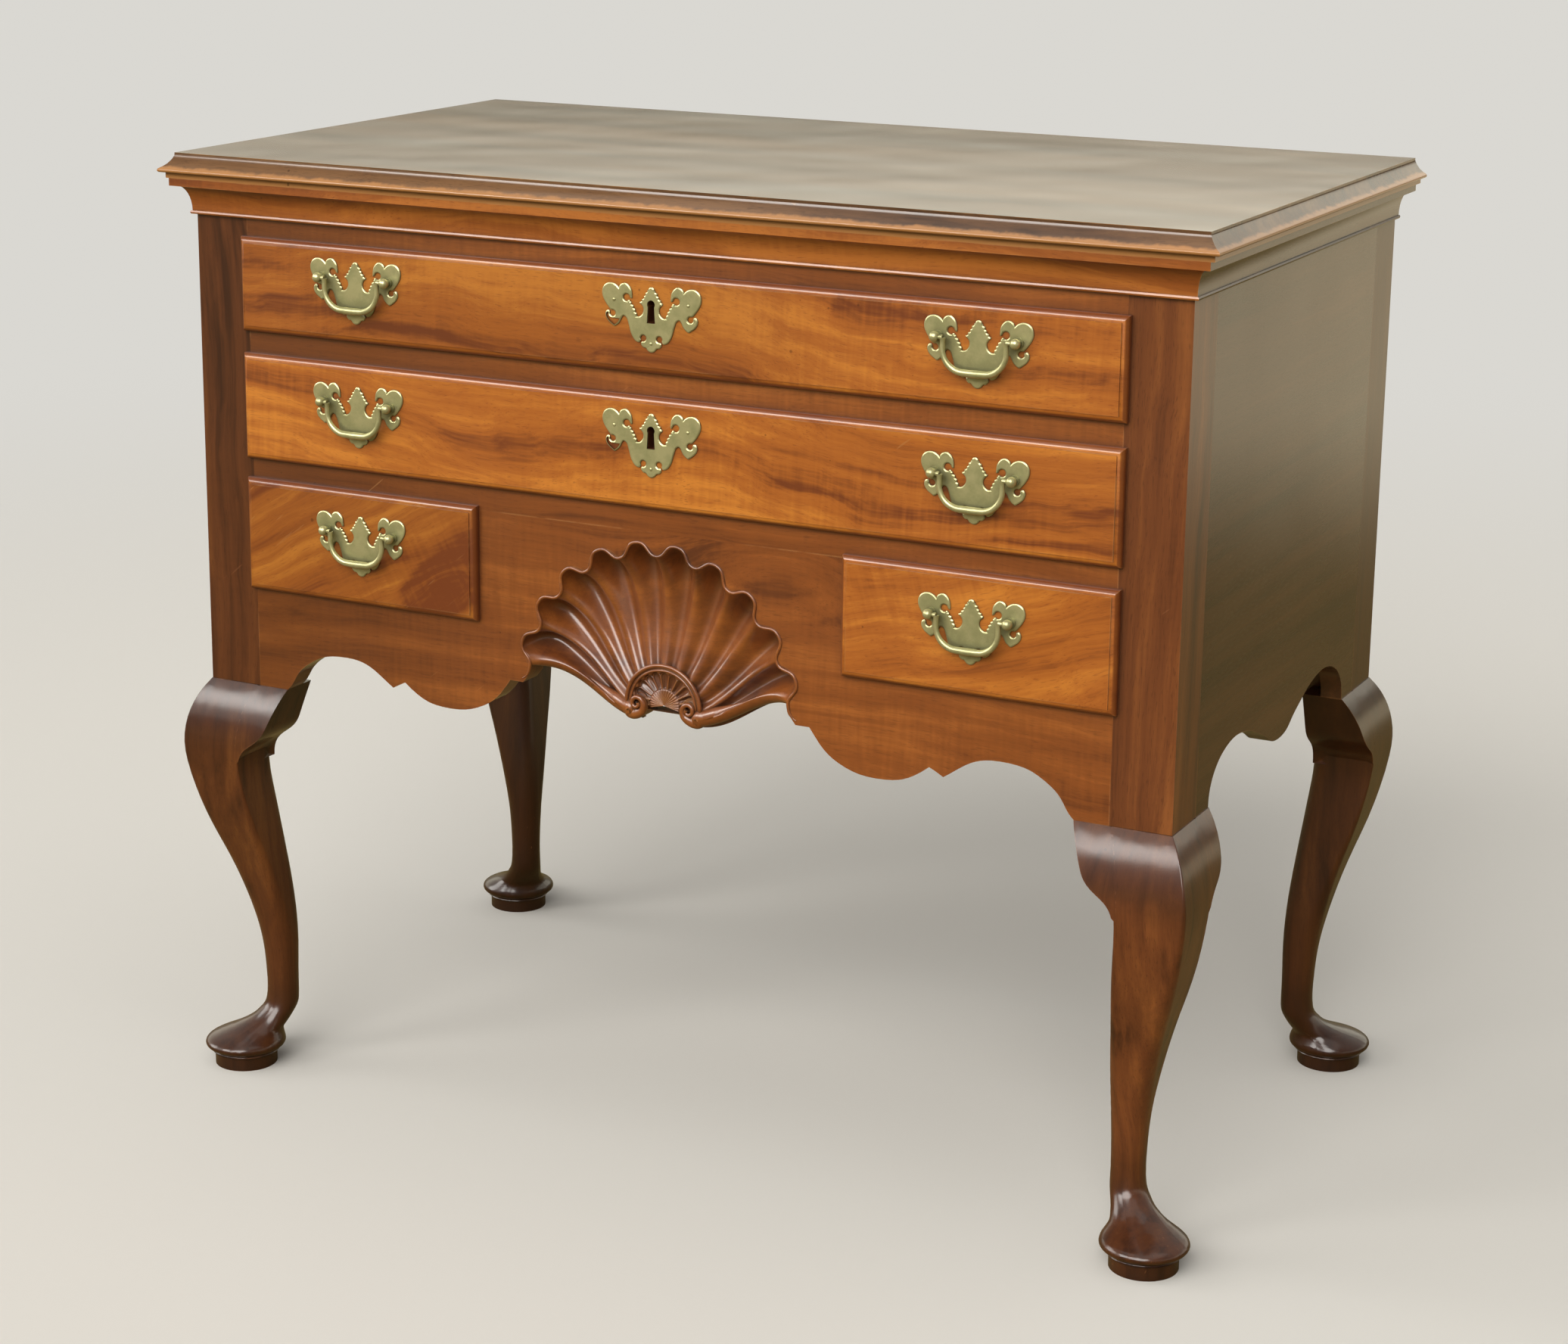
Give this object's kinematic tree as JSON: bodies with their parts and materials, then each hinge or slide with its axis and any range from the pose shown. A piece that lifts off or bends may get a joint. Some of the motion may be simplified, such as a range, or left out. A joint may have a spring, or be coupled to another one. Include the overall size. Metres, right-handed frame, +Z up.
{
  "type": "lowboy",
  "caption": "Mahogany lowboy on cabriole legs: long drawers over short ones, a carved shell in the apron, brass bail pulls and a moulded top.",
  "frame": {"origin": "on the floor, in the middle of the object's box", "axes": "+Z up, front of the lowboy towards -Y, +X to the right seen from the front"},
  "size_m": [0.914, 0.5286, 0.8],
  "materials": {
    "mahogany_top": "polished",
    "mahogany_front": "polished",
    "mahogany_dark": "polished",
    "secondary_wood": "raw",
    "brass": "aged",
    "lock_iron": "dull"
  },
  "bodies": {
    "case": {"apron": "mahogany_front", "back_board": "secondary_wood", "carved_shell": "mahogany_front", "drawer_guides": "secondary_wood", "front_cornice": "mahogany_top", "front_knee_brackets": "mahogany_dark", "front_left_leg": "mahogany_dark", "front_right_leg": "mahogany_dark", "glue_blocks": "lock_iron", "left_cornice": "mahogany_top", "left_side": "mahogany_dark", "lower_runners": "secondary_wood", "middle_rail": "mahogany_front", "middle_runners": "secondary_wood", "rear_left_leg": "mahogany_dark", "rear_right_leg": "mahogany_dark", "right_cornice": "mahogany_top", "right_side": "mahogany_dark", "side_knee_brackets": "mahogany_dark", "top_board": "mahogany_top", "top_kickers": "secondary_wood", "top_rail": "mahogany_front", "upper_rail": "mahogany_front", "upper_runners": "secondary_wood"},
    "top_drawer": {"top_drawer_back": "secondary_wood", "top_drawer_bottom": "secondary_wood", "top_drawer_front": "mahogany_front", "top_drawer_sides": "secondary_wood", "top_escutcheon": "brass", "top_lock": "lock_iron", "top_pull_plates": "brass", "top_pull_posts": "brass"},
    "second_drawer": {"second_drawer_back": "secondary_wood", "second_drawer_bottom": "secondary_wood", "second_drawer_front": "mahogany_front", "second_drawer_sides": "secondary_wood", "second_escutcheon": "brass", "second_lock": "lock_iron", "second_pull_plates": "brass", "second_pull_posts": "brass"},
    "left_drawer": {"left_drawer_back": "secondary_wood", "left_drawer_bottom": "secondary_wood", "left_drawer_front": "mahogany_front", "left_drawer_sides": "secondary_wood", "left_pull_plates": "brass", "left_pull_posts": "brass"},
    "right_drawer": {"right_drawer_back": "secondary_wood", "right_drawer_bottom": "secondary_wood", "right_drawer_front": "mahogany_front", "right_drawer_sides": "secondary_wood", "right_pull_plates": "brass", "right_pull_posts": "brass"},
    "left_bail": {"left_bail": "brass"},
    "right_bail": {"right_bail": "brass"},
    "second_left_bail": {"second_left_bail": "brass"},
    "second_right_bail": {"second_right_bail": "brass"},
    "top_left_bail": {"top_left_bail": "brass"},
    "top_right_bail": {"top_right_bail": "brass"},
    "second_lock_bolt": {"second_lock_bolt": "lock_iron"},
    "top_lock_bolt": {"top_lock_bolt": "lock_iron"}
  },
  "joints": [
    {"name": "top_drawer_slide", "type": "slide", "parent": "case", "child": "top_drawer", "axis": [0, -1, 0], "range_m": [0, 0.3]},
    {"name": "second_drawer_slide", "type": "slide", "parent": "case", "child": "second_drawer", "axis": [0, -1, 0], "range_m": [0, 0.3]},
    {"name": "left_drawer_slide", "type": "slide", "parent": "case", "child": "left_drawer", "axis": [0, -1, 0], "range_m": [0, 0.3]},
    {"name": "right_drawer_slide", "type": "slide", "parent": "case", "child": "right_drawer", "axis": [0, -1, 0], "range_m": [0, 0.3]},
    {"name": "left_bail_swing", "type": "hinge", "parent": "left_drawer", "child": "left_bail", "pos_m": [-0.272, -0.2585, 0.4994], "axis": [-1, 0, 0], "range_deg": [-8, 160]},
    {"name": "right_bail_swing", "type": "hinge", "parent": "right_drawer", "child": "right_bail", "pos_m": [0.272, -0.2585, 0.4994], "axis": [-1, 0, 0], "range_deg": [-8, 160]},
    {"name": "second_left_bail_swing", "type": "hinge", "parent": "second_drawer", "child": "second_left_bail", "pos_m": [-0.272, -0.2585, 0.607], "axis": [-1, 0, 0], "range_deg": [-8, 160]},
    {"name": "second_right_bail_swing", "type": "hinge", "parent": "second_drawer", "child": "second_right_bail", "pos_m": [0.272, -0.2585, 0.607], "axis": [-1, 0, 0], "range_deg": [-8, 160]},
    {"name": "top_left_bail_swing", "type": "hinge", "parent": "top_drawer", "child": "top_left_bail", "pos_m": [-0.272, -0.2585, 0.7088], "axis": [-1, 0, 0], "range_deg": [-8, 160]},
    {"name": "top_right_bail_swing", "type": "hinge", "parent": "top_drawer", "child": "top_right_bail", "pos_m": [0.272, -0.2585, 0.7088], "axis": [-1, 0, 0], "range_deg": [-8, 160]},
    {"name": "second_lock_bolt_throw", "type": "slide", "parent": "second_drawer", "child": "second_lock_bolt", "axis": [0, 0, 1], "range_m": [0, 0.006]},
    {"name": "top_lock_bolt_throw", "type": "slide", "parent": "top_drawer", "child": "top_lock_bolt", "axis": [0, 0, 1], "range_m": [0, 0.006]}
  ]
}
